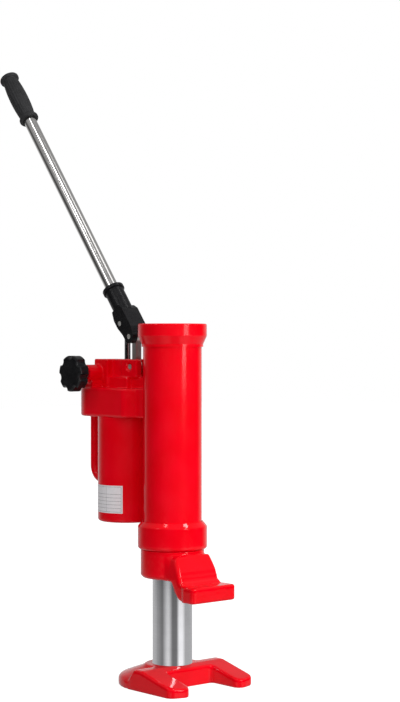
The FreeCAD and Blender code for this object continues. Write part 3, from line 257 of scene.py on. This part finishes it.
# The lower collar closes the cylinder, and its spigot hangs in the toe's ring on a round nut. It
# is turned and painted; a bronze bush, a rod seal and a wiper run on the ram inside it.
def machined_bronze(name):
    """Yellow bronze with the lines of a turning tool."""
    shades = ((0.48, 0.31, 0.13), (0.62, 0.43, 0.20))
    return plated_bar(name, shades, roughness=(0.3, 0.45),
                      line_size=(0.1, 0.1, 0.0009), line_depth=0.00001)


def moulded_rubber(name, shades, pore_size):
    """Dull black rubber with a dusty bloom and fine pores."""
    finish, tree, shader, place = new_finish(name)
    bloom = grain(tree, place, size=0.012, detail=4)
    pores, pore_depth = grain(tree, place, pore_size, detail=1), 0.00004
    coat(tree, shader, bloom, shades, pores, roughness=(0.5, 0.68))
    shader.inputs["Specular IOR Level"].default_value = 0.35
    relief(tree, shader, (pores, pore_depth))
    return finish


seal_shades = ((0.010, 0.010, 0.010), (0.022, 0.022, 0.023))
seal_rubber = moulded_rubber("seal_rubber", seal_shades, pore_size=0.0006)
bush_bronze = machined_bronze("bush_bronze")
collar_low, collar_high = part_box("lower_collar")
collar_radius = (collar_high[0] - collar_low[0]) / 2
bevel_width, bevel_height = 0.0064, 0.0076
ring_gap, corner_width, corner_height = 0.0007, 0.0035, 0.0018
shoulder, neck_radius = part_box("toe")[1][2] + ring_gap, spigot_radius - spigot_gap
corner_radius, corner_top = spigot_radius + corner_width, shoulder + corner_height


def turn_collar(place):
    """Turns a wide bevel on the collar's upper edge and a clear corner above the toe's ring."""
    up = min(max((place.z - collar_high[2] + bevel_height) / bevel_height, 0), 1)
    reach = math.hypot(place.x, place.y)
    top = corner_top if reach < corner_radius else shoulder
    if place.z < top and reach > neck_radius:
        if top - place.z > reach - neck_radius:
            return out_to(place, neck_radius)
        return Vector((place.x, place.y, top))
    return out_to(place, min(reach, collar_radius - bevel_width * up))


collar_enamel = red_enamel("collar_enamel", lump_size=0.02, lump_depth=0.00005,
                           roughness=(0.07, 0.11))
collar = rounded_casting("turned_collar", "lower_collar", cell=0.0015, rubs=5, reshape=turn_collar)
collar.data.materials.append(collar_enamel)
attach(collar, "cylinder")
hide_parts("lower_collar")
finish_nodes(bush_bronze, "rod_guide_bush")
finish_nodes(seal_rubber, "rod_seal", "wiper_ring")
finish_nodes(turned_steel, "toe_retaining_nut")


# The cylinder is a length of drawn tube with a turned head on top, whose flat face is the upper
# saddle. Both are sprayed red; the head is sealed to the tube by a rubber ring.
tube_enamel = red_enamel("tube_enamel", lump_size=0.03, lump_depth=0.00004)
head_enamel = red_enamel("head_enamel", lump_size=0.02, lump_depth=0.00005)
finish_nodes(tube_enamel, "cylinder_tube")
finish_nodes(head_enamel, "cylinder_head")
finish_nodes(seal_rubber, "head_seal")


# The pump block is an iron casting with a neck to the tube, a flange that closes the tank, a
# slotted lug for the link and a boss for the release valve. It is sprayed red with the rest.
link_low, link_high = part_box("fulcrum_link")
link_side_gap, link_back_gap, link_end_gap = 0.0009, 0.0022, 0.006
slot_half, slot_back = link_high[0] + link_side_gap, link_high[1] + link_back_gap
slot_floor = link_low[2] - link_end_gap
plunger_low, plunger_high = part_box("pump_plunger")
plunger_y = (plunger_low[1] + plunger_high[1]) / 2
spindle_low, spindle_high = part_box("release_spindle")
spindle_y, spindle_z = ((spindle_low[i] + spindle_high[i]) / 2 for i in (1, 2))
rod_bore, rod_bore_bottom, needle_gap = 0.00535, 0.434, 0.0004
needle_end = spindle_high[0] + needle_gap


def clear_slot(place):
    """Keeps the rounding out of the slot in which the link swings."""
    into_side, into_back = slot_half - abs(place.x), slot_back - place.y
    into_floor = place.z - slot_floor
    nearest = min(into_side, into_back, into_floor)
    if nearest <= 0:
        return place
    if nearest == into_side:
        return Vector((math.copysign(slot_half, place.x), place.y, place.z))
    if nearest == into_back:
        return Vector((place.x, slot_back, place.z))
    return Vector((place.x, place.y, slot_floor))


def clear_bores(place):
    """Keeps it out of the bores too, in which the plunger slides and the needle turns."""
    off = Vector((place.x, place.y - plunger_y, 0))
    if place.z > rod_bore_bottom and off.length < rod_bore:
        return place + off * (rod_bore / off.length - 1)
    off = Vector((0, place.y - spindle_y, place.z - spindle_z))
    if place.x < needle_end and off.length < rod_bore:
        if needle_end - place.x < rod_bore - off.length:
            return Vector((needle_end, place.y, place.z))
        return place + off * (rod_bore / off.length - 1)
    return clear_slot(place)


block_enamel = red_enamel("block_enamel", lump_size=0.011, lump_depth=0.00012,
                          roughness=(0.07, 0.12))
block_casting = rounded_casting("block_casting", "pump_block", cell=0.0014, rubs=3,
                                reshape=clear_bores)
block_casting.data.materials.append(block_enamel)
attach(block_casting, "cylinder")
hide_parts("pump_block")


# The oil tank is a deep-drawn steel can that hangs from the block on a rubber ring. A blank rating
# plate, printed with empty ruled lines, is stuck round its side.
tank_enamel = red_enamel("tank_enamel", lump_size=0.04, lump_depth=0.00005)
finish_nodes(tank_enamel, "oil_tank")
finish_nodes(seal_rubber, "tank_seal")
tank_low, tank_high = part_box("oil_tank")
tank_axis_y = (tank_low[1] + tank_high[1]) / 2
tank_radius = (tank_high[1] - tank_low[1]) / 2
plate_bottom, plate_height, plate_arc = 0.2602, 0.0438, math.radians(84)
plate_lift, plate_steps = 0.00018, 24
line_width, margin, post_share = 0.0005, 0.0022, 0.42
line_heights = [0.008, 0.0135, 0.019, 0.0245, 0.030]


def as_piece(name, mesh):
    """The mesh as a piece of the scene, its faces turned outwards."""
    data = bpy.data.meshes.new(name)
    bmesh.ops.recalc_face_normals(mesh, faces=mesh.faces)
    mesh.to_mesh(data)
    mesh.free()
    piece = bpy.data.objects.new(name, data)
    bpy.context.scene.collection.objects.link(piece)
    return piece


def rating_plate():
    """A thin sheet bent round the tank, with its frame and ruled lines as strips of their own."""
    ups = {0.0, plate_height}
    inked_ups = []
    for up in [margin, plate_height - margin] + line_heights:
        inked_ups.append((up - line_width / 2, up + line_width / 2))
        ups.update(inked_ups[-1])
    ups = sorted(ups)
    width = plate_arc * tank_radius
    post = width * post_share
    inked_alongs = [(margin, margin + line_width), (width - margin - line_width, width - margin),
                    (post, post + line_width)]
    alongs = {edge for strip in inked_alongs for edge in strip}
    alongs.update(width * step / plate_steps for step in range(plate_steps + 1))
    alongs = sorted(alongs)
    reach = tank_radius + plate_lift
    mesh = bmesh.new()
    rows = []
    for up in ups:
        row = []
        for along in alongs:
            turn = along / tank_radius - plate_arc / 2
            row.append(mesh.verts.new((-reach * math.cos(turn),
                                       tank_axis_y + reach * math.sin(turn), plate_bottom + up)))
        rows.append(row)

    def inside(low, high, strips):
        middle = (low + high) / 2
        return any(first < middle < last for first, last in strips)

    for i in range(len(ups) - 1):
        for j in range(len(alongs) - 1):
            face = mesh.faces.new((rows[i][j], rows[i + 1][j], rows[i + 1][j + 1], rows[i][j + 1]))
            face.smooth = True
            up_in = inside(ups[i], ups[i + 1], [(margin, plate_height - margin)])
            along_in = inside(alongs[j], alongs[j + 1], [(margin, width - margin)])
            on_line = inside(ups[i], ups[i + 1], inked_ups) and along_in
            on_post = inside(alongs[j], alongs[j + 1], inked_alongs) and up_in
            face.material_index = 1 if on_line or on_post else 0
    return as_piece("rating_plate", mesh)


def printed_film(name, shades):
    """Satin film, a little mottled, with the faint ripple of a sheet stuck on by hand."""
    finish, tree, shader, place = new_finish(name)
    mottle = grain(tree, place, size=0.004, detail=4)
    ripple, ripple_depth = grain(tree, place, size=(0.02, 0.02, 0.009)), 0.00006
    coat(tree, shader, mottle, shades, mottle, roughness=(0.32, 0.45))
    relief(tree, shader, (ripple, ripple_depth))
    return finish


film_shades = ((0.86, 0.83, 0.86), (0.92, 0.90, 0.92))
ink_shades = ((0.28, 0.27, 0.29), (0.36, 0.35, 0.37))
plate = rating_plate()
plate.data.materials.append(printed_film("plate_film", film_shades))
plate.data.materials.append(printed_film("plate_ink", ink_shades))
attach(plate, "cylinder")


# Inside the block oil comes up a bronze strainer and past two balls on their seats, and a rubber
# ring under a steel gland holds it at the plunger. Steel plugs close the filler and the relief.
valve_bronze = machined_bronze("valve_bronze")
finish_nodes(valve_bronze, "suction_strainer", "inlet_seat", "delivery_retainer")
finish_nodes(seal_rubber, "plunger_seal")
ball_shades = ((0.60, 0.60, 0.60), (0.66, 0.66, 0.66))
ball_steel = plated_bar("ball_steel", ball_shades, roughness=(0.08, 0.14),
                        line_size=(0.003, 0.003, 0.003), line_depth=0.000001)
finish_nodes(ball_steel, "inlet_ball", "delivery_ball")


def zinc_plate(name, shades, roughness):
    """Zinc over steel: grey and patchy, with small crystals."""
    finish, tree, shader, place = new_finish(name)
    patches = grain(tree, place, size=0.003, detail=4)
    crystals, crystal_depth = grain(tree, place, size=0.0007, detail=1), 0.000012
    coat(tree, shader, patches, shades, patches, roughness)
    shader.inputs["Metallic"].default_value = 1
    relief(tree, shader, (crystals, crystal_depth))
    return finish


plug_shades = ((0.40, 0.40, 0.42), (0.58, 0.58, 0.59))
plug_zinc = zinc_plate("plug_zinc", plug_shades, roughness=(0.24, 0.42))
finish_nodes(plug_zinc, "plunger_gland", "filler_plug", "relief_valve_plug")


# The release valve is a steel needle in a packing nut, turned by a seven-lobed knob of black
# resin that is moulded round a hub and pinned by a grub screw.
def black_resin(name):
    """Glossy black resin with a faint swirl and haze."""
    finish, tree, shader, place = new_finish(name)
    shades = ((0.006, 0.006, 0.007), (0.013, 0.013, 0.014))
    swirl = grain(tree, place, size=0.01, detail=4)
    haze, haze_depth = grain(tree, place, size=0.0009, detail=1), 0.00001
    coat(tree, shader, swirl, shades, swirl, roughness=(0.1, 0.18))
    shader.inputs["Specular IOR Level"].default_value = 0.2
    relief(tree, shader, (haze, haze_depth))
    return finish


finish_nodes(black_resin("knob_resin"), "release_knob")
finish_nodes(turned_steel, "release_spindle")
finish_nodes(plug_zinc, "release_gland", "knob_grub_screw")


# The carry handle is round bar bent through a right angle and welded under the flange and to the
# tank's back. A ripple of weld shows round each end, and red enamel covers bar and weld.
handle_enamel = red_enamel("handle_enamel", lump_size=0.015, lump_depth=0.00005)
weld_enamel = red_enamel("weld_enamel", lump_size=0.002, lump_depth=0.0001)
finish_nodes(handle_enamel, "carry_handle")
bar_low, bar_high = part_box("carry_handle")
bar_radius = (bar_high[0] - bar_low[0]) / 2
bead_radius, bead_flatness, bead_steps, bead_sides = 0.0024, 0.55, 72, 8
ripple_count, ripple_height, wave_count, wave_height = 18, 0.09, 5, 0.07
flange_weld_drop, tank_weld_rise = 0.0006, 0.0003


def weld_bead(name, centre, across, up):
    """A rippled ring of weld round the bar's end, in the plane of across and up."""
    mesh = bmesh.new()
    axis = across.cross(up)
    rings = []
    for step in range(bead_steps):
        turn = 2 * math.pi * step / bead_steps
        out = across * math.cos(turn) + up * math.sin(turn)
        swell = bead_radius * (1 + ripple_height * math.sin(turn * ripple_count)
                               + wave_height * math.sin(turn * wave_count + 1))
        ring = []
        for side in range(bead_sides):
            slant = 2 * math.pi * side / bead_sides
            place = (out * (bar_radius + swell * bead_flatness * math.cos(slant))
                     + axis * swell * math.sin(slant))
            ring.append(mesh.verts.new(centre + place))
        rings.append(ring)
    for i, ring in enumerate(rings):
        after = rings[(i + 1) % bead_steps]
        for j in range(bead_sides):
            k = (j + 1) % bead_sides
            mesh.faces.new((ring[j], after[j], after[k], ring[k])).smooth = True
    bead = as_piece(name, mesh)
    bead.data.materials.append(weld_enamel)
    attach(bead, "cylinder")


flange_end = Vector((0, bar_high[1] - bar_radius, bar_high[2] - flange_weld_drop))
tank_end = Vector((0, tank_axis_y + tank_radius + tank_weld_rise, bar_low[2] + bar_radius))
weld_bead("flange_weld", flange_end, across=Vector((1, 0, 0)), up=Vector((0, 1, 0)))
weld_bead("tank_weld", tank_end, across=Vector((1, 0, 0)), up=Vector((0, 0, 1)))


# The pump plunger is a hard-chromed rod with a forged eye. It slides in the gland and shows its
# full length below the lever's yoke when the lever is up.
plunger_chrome = plated_bar("plunger_chrome", chrome_shades, roughness=(0.12, 0.2),
                            line_size=(0.1, 0.1, 0.0006), line_depth=0.000002)
finish_nodes(plunger_chrome, "pump_plunger")


# The fulcrum link is flat bar with two drilled eyes, left bright and brushed along its length. It
# hangs on a plain pin pressed into the block's lug.
link_shades = ((0.50, 0.48, 0.46), (0.64, 0.62, 0.60))
link_steel = plated_bar("link_steel", link_shades, roughness=(0.28, 0.42),
                        line_size=(0.0006, 0.0006, 0.03), line_depth=0.00001)
finish_nodes(link_steel, "fulcrum_link")
pin_shades = ((0.64, 0.63, 0.60), (0.80, 0.79, 0.76))
pin_zinc = zinc_plate("pin_zinc", pin_shades, roughness=(0.42, 0.55))
finish_nodes(pin_zinc, "link_pin")


# The handle socket is an iron casting, a yoke with a round socket above it, dipped in black
# paint. Two zinc-plated pins with spring clips go through its cheeks.
def black_paint(name):
    """Satin black paint that drifts a little in shade, over the skin of a casting."""
    finish, tree, shader, place = new_finish(name)
    shades = ((0.005, 0.005, 0.006), (0.011, 0.011, 0.012))
    drift = grain(tree, place, size=0.012, detail=3)
    skin, skin_depth = grain(tree, place, size=0.0022, detail=3), 0.00012
    coat(tree, shader, drift, shades, skin, roughness=(0.24, 0.38))
    shader.inputs["Specular IOR Level"].default_value = 0.15
    relief(tree, shader, (skin, skin_depth))
    return finish


finish_nodes(black_paint("socket_paint"), "handle_socket")
finish_nodes(pin_zinc, "plunger_pin", "fulcrum_pin", "pin_circlips")


# The lever is a drawn steel tube, bright zinc on the outside, that slips into the socket and can
# be pulled out. Faint draw lines run along it.
pull = next(joint for joint in frame["joints"] if joint["name"] == "lever_pull")
lever_way = Vector(pull["axis"])
lever_tilt = -math.atan2(lever_way.y, lever_way.z)
lever_shades = ((0.56, 0.55, 0.54), (0.68, 0.67, 0.66))
lever_zinc = plated_bar("lever_zinc", lever_shades, roughness=(0.12, 0.18),
                        line_size=(0.0009, 0.0009, 0.12), line_depth=0.0000004, tilt=lever_tilt)
finish_nodes(lever_zinc, "lever_tube")


# The grip is a black rubber sleeve pushed over the tube's end: a barrel with shallow lengthwise
# ribs between two collars, closed by a low dome.
tube_low, tube_high = (Vector(corner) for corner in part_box("lever_tube"))
tube_length, grip_end_wall, grip_length = 0.520, 0.005, 0.104
grip_top = (tube_low + tube_high) / 2 + lever_way * (tube_length / 2 + grip_end_wall)
grip_neck, grip_belly, grip_collar, tube_radius = 0.0130, 0.0028, 0.01675, 0.01072
collar_length, dome_rise, collar_round, mouth_depth = 0.007, 0.003, 0.002, 0.006
barrel_gap, barrel_steps, ribs_fade = 0.0004, 24, 8
rib_count, rib_height, steps_per_rib, rib_fullness, rib_base = 20, 0.0006, 8, 0.6, 0.75
dome = [(0.0, 0.0), (0.0003, 0.006), (0.0013, 0.0115), (0.0026, 0.0150)]
collar_edge = [(0.0, 0.0022), (0.0006, 0.0009), (0.0018, 0.0002)]


def grip_profile():
    """Distance down from the dome, radius, and how far the ribs stand there."""
    points = [(down, radius, 0) for down, radius in dome]
    for degrees in (30, 50, 70, 90):
        turn = math.radians(degrees)
        points.append((dome_rise + collar_round * (1 - math.cos(turn)),
                       grip_collar - collar_round * (1 - math.sin(turn)), 0))
    upper, lower = dome_rise + collar_length, grip_length - collar_length
    points += [(upper - back, grip_collar - drop, 0) for back, drop in reversed(collar_edge)]
    start, end = upper + barrel_gap, lower - barrel_gap
    for step in range(barrel_steps + 1):
        share = step / barrel_steps
        rise = min(1, share * ribs_fade, (1 - share) * ribs_fade)
        points.append((start + (end - start) * share,
                       grip_neck + grip_belly * (1 - (2 * share - 1) ** 2), rise))
    points += [(lower + on, grip_collar - drop, 0) for on, drop in collar_edge]
    points.append((lower + collar_length / 2, grip_collar, 0))
    points += [(grip_length - back, grip_collar - drop, 0) for back, drop in reversed(collar_edge)]
    points += [(grip_length, tube_radius, 0), (grip_length - mouth_depth, tube_radius, 0)]
    return points


def ribbed_grip():
    """The profile turned about the lever's axis, from the dome down to the mouth."""
    turns = rib_count * steps_per_rib
    across = Vector((1, 0, 0))
    up = lever_way.cross(across)
    mesh = bmesh.new()
    rings = []
    for down, radius, rise in grip_profile():
        middle = grip_top - lever_way * down
        if radius == 0:
            rings.append([mesh.verts.new(middle)])
            continue
        ring = []
        for step in range(turns):
            turn = 2 * math.pi * step / turns
            rib = abs(math.sin(turn * rib_count / 2)) ** rib_fullness - rib_base
            reach = radius + rib * rib_height * rise
            ring.append(mesh.verts.new(middle + across * reach * math.cos(turn)
                                       + up * reach * math.sin(turn)))
        rings.append(ring)
    for here, there in zip(rings, rings[1:]):
        for step in range(turns):
            after = (step + 1) % turns
            if len(here) == 1:
                corners = (here[0], there[step], there[after])
            else:
                corners = (here[step], there[step], there[after], here[after])
            mesh.faces.new(corners).smooth = True
    return as_piece("ribbed_grip", mesh)


grip_shades = ((0.010, 0.010, 0.011), (0.022, 0.022, 0.024))
grip_rubber = moulded_rubber("grip_rubber", grip_shades, pore_size=0.0009)
grip = ribbed_grip()
grip.data.materials.append(grip_rubber)
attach(grip, "lever")
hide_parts("lever_grip")


# The studio: a white floor that keeps a soft shadow, a white backdrop, light from the front, two
# upright soft boxes and three overhead. Bright metal mirrors a room that is dark in front, white
# behind and grey overhead, with two light strips on a grey floor.
scene = bpy.context.scene
scene.view_settings.view_transform = "Standard"
azimuth = math.radians(-40)
toward = Vector((math.sin(azimuth), -math.cos(azimuth), 0))
right = Vector((math.cos(azimuth), math.sin(azimuth), 0))


def round_the_camera(degrees, distance, height):
    """A place round the jack, by the angle from the camera, in degrees to its right."""
    turn = math.radians(degrees)
    return (toward * math.cos(turn) + right * math.sin(turn)) * distance + Vector((0, 0, height))


def two_levels(tree, amount, first, second):
    """A brightness between two, by amount; each is a number or another brightness of the tree."""
    mix = tree.nodes.new("ShaderNodeMix")
    tree.links.new(amount, mix.inputs["Factor"])
    for socket, level in zip(mix.inputs[2:4], (first, second)):
        if isinstance(level, float):
            socket.default_value = level
        else:
            tree.links.new(level, socket)
    return mix.outputs[0]


def seen(tree, by_eye, in_mirror, otherwise):
    """How bright a surface looks to the camera, in a mirror or through glass, and to the rest."""
    path = tree.nodes.new("ShaderNodeLightPath")
    mirrored = tree.nodes.new("ShaderNodeMath")
    mirrored.operation = "MAXIMUM"
    tree.links.new(path.outputs["Is Glossy Ray"], mirrored.inputs[0])
    tree.links.new(path.outputs["Is Transmission Ray"], mirrored.inputs[1])
    level = two_levels(tree, mirrored.outputs["Value"], otherwise, in_mirror)
    return two_levels(tree, path.outputs["Is Camera Ray"], level, by_eye)


floor_half = 9
floor_data = bpy.data.meshes.new("floor")
floor_data.from_pydata([(-floor_half, -floor_half, 0), (floor_half, -floor_half, 0),
                        (floor_half, floor_half, 0), (-floor_half, floor_half, 0)],
                       [], [(0, 1, 2, 3)])
floor = bpy.data.objects.new("floor", floor_data)
scene.collection.objects.link(floor)
floor_shades = ((0.52, 0.52, 0.52), (0.54, 0.54, 0.54))
floor_paint, tree, shader, place = new_finish("floor_paint")
two_shades(tree, shader, grain(tree, place, size=0.4), *floor_shades)
shader.inputs["Roughness"].default_value = 0.9
shader.inputs["Specular IOR Level"].default_value = 0
shader.inputs["Emission Color"].default_value = (1, 1, 1, 1)
floor_glow = seen(tree, by_eye=0.88, in_mirror=0.4, otherwise=0.0)
tree.links.new(floor_glow, shader.inputs["Emission Strength"])
floor_data.materials.append(floor_paint)
# Bright metal mirrors the floor of the room below, in its place.
floor.visible_glossy = False

room = bpy.data.worlds.new("room")
scene.world = room
room.use_nodes = True
room_tree = room.node_tree
backdrop = room_tree.nodes["Background"]
direction = room_tree.nodes.new("ShaderNodeTexCoord").outputs["Generated"]


def facing(way):
    """From 1 where a ray goes that way to -1 where it goes the other."""
    product = room_tree.nodes.new("ShaderNodeVectorMath")
    product.operation = "DOT_PRODUCT"
    product.inputs[1].default_value = way
    room_tree.links.new(direction, product.inputs[0])
    return product.outputs["Value"]


def panorama(greys):
    """Greys round the room by the angle from the camera, in degrees to its right."""
    angle = room_tree.nodes.new("ShaderNodeMath")
    angle.operation = "ARCTAN2"
    room_tree.links.new(facing(right), angle.inputs[0])
    room_tree.links.new(facing(toward), angle.inputs[1])
    share = spread(room_tree, angle.outputs["Value"], 0.0, 1.0, -math.pi, math.pi)
    ramp = room_tree.nodes.new("ShaderNodeValToRGB")
    room_tree.links.new(share, ramp.inputs["Fac"])
    stops = ramp.color_ramp.elements
    for degrees, grey in greys:
        stops.new(degrees / 360 + 0.5).color = (grey, grey, grey, 1)
    stops.remove(stops[0])
    stops.remove(stops[-1])
    return ramp.outputs["Color"]


def above(start, end, lower, upper):
    """The lower brightness for rays that go down, turning into the upper as they rise."""
    rising = spread(room_tree, facing(Vector((0, 0, 1))), 0.0, 1.0, start, end)
    return two_levels(room_tree, rising, lower, upper)


floor_grey, ground_behind, left_strip, right_strip = 0.25, 0.6, 1.0, 1.4
near_floor = panorama([(-179, ground_behind), (-120, ground_behind), (-60, floor_grey),
                       (-30, left_strip), (-20, left_strip), (0, floor_grey), (25, floor_grey),
                       (40, right_strip), (60, right_strip), (80, ground_behind),
                       (179, ground_behind)])
wall_behind, wall_corner, wall_left, wall_dim, wall_front = 0.8, 0.7, 0.1, 0.05, 0.0
walls = panorama([(-179, wall_behind), (-140, wall_corner), (-112, wall_left), (-90, wall_dim),
                  (-70, wall_front), (115, wall_front), (140, wall_corner), (179, wall_behind)])
floor_line, ceiling_line, ceiling_grey = (-0.14, -0.125), (0.15, 0.4), 0.4
room_grey = above(*floor_line, lower=near_floor, upper=walls)
room_grey = above(*ceiling_line, lower=room_grey, upper=ceiling_grey)
front = facing(round_the_camera(degrees=25, distance=1, height=0))
front_light = spread(room_tree, front, low=0.12, high=1.6, start=0.0, end=1.0)
brightness = seen(room_tree, by_eye=1.0, in_mirror=room_grey, otherwise=front_light)
room_tree.links.new(brightness, backdrop.inputs["Strength"])
backdrop.inputs["Color"].default_value = (1, 1, 1, 1)


def soft_box(name, place, aim_height, width, height, brightness):
    """A lamp panel that faces the ram's axis; brightness is 1 where it looks paper white."""
    data = bpy.data.lights.new(name, "AREA")
    data.shape = "RECTANGLE"
    data.size, data.size_y = width, height
    data.energy = brightness * math.pi * width * height
    panel = bpy.data.objects.new(name, data)
    scene.collection.objects.link(panel)
    panel.location = place
    panel.visible_camera = False
    way = Vector((0, 0, aim_height)) - panel.location
    panel.rotation_euler = way.to_track_quat("-Z", "Y").to_euler()


soft_box("right_box", round_the_camera(degrees=46, distance=1.7, height=1.05), aim_height=1.05,
         width=0.45, height=1.2, brightness=8.0)
soft_box("left_box", round_the_camera(degrees=-60, distance=1.8, height=1.9), aim_height=1.9,
         width=0.3, height=1.0, brightness=5.0)
overhead = Vector((0, 0, 2.1))
soft_box("top_left_box", toward * 0.4 - right * 0.5 + overhead, aim_height=0,
         width=0.3, height=0.2, brightness=12.0)
soft_box("top_box", right * 0.5 - toward * 0.05 + overhead, aim_height=0,
         width=0.5, height=0.4, brightness=1.5)
soft_box("top_right_box", toward * 0.15 + right * 1.0 + overhead, aim_height=0,
         width=0.3, height=0.25, brightness=25.0)


# The camera looks at the jack from the left of its front, about level with the cylinder's head and
# far enough back that its uprights stay upright.
focal_pixels, distance, eye_height = 1734.0, 2.7, 0.535
picture_width, picture_height, horizon_row, axis_column = 400, 702, 339.7, 172.4
sensor_height = 36
lens = bpy.data.cameras.new("camera")
lens.sensor_fit = "VERTICAL"
lens.sensor_height = sensor_height
lens.lens = focal_pixels / picture_height * sensor_height
camera = bpy.data.objects.new("camera", lens)
scene.collection.objects.link(camera)
camera.location = toward * distance + Vector((0, 0, eye_height))
yaw = math.atan((picture_width / 2 - axis_column) / focal_pixels)
pitch = math.atan((picture_height / 2 - horizon_row) / focal_pixels)
look = Matrix.Rotation(-yaw, 3, "Z") @ (-toward)
look = (look + Vector((0, 0, -math.tan(pitch)))).normalized()
camera.rotation_euler = look.to_track_quat("-Z", "Y").to_euler()
scene.camera = camera
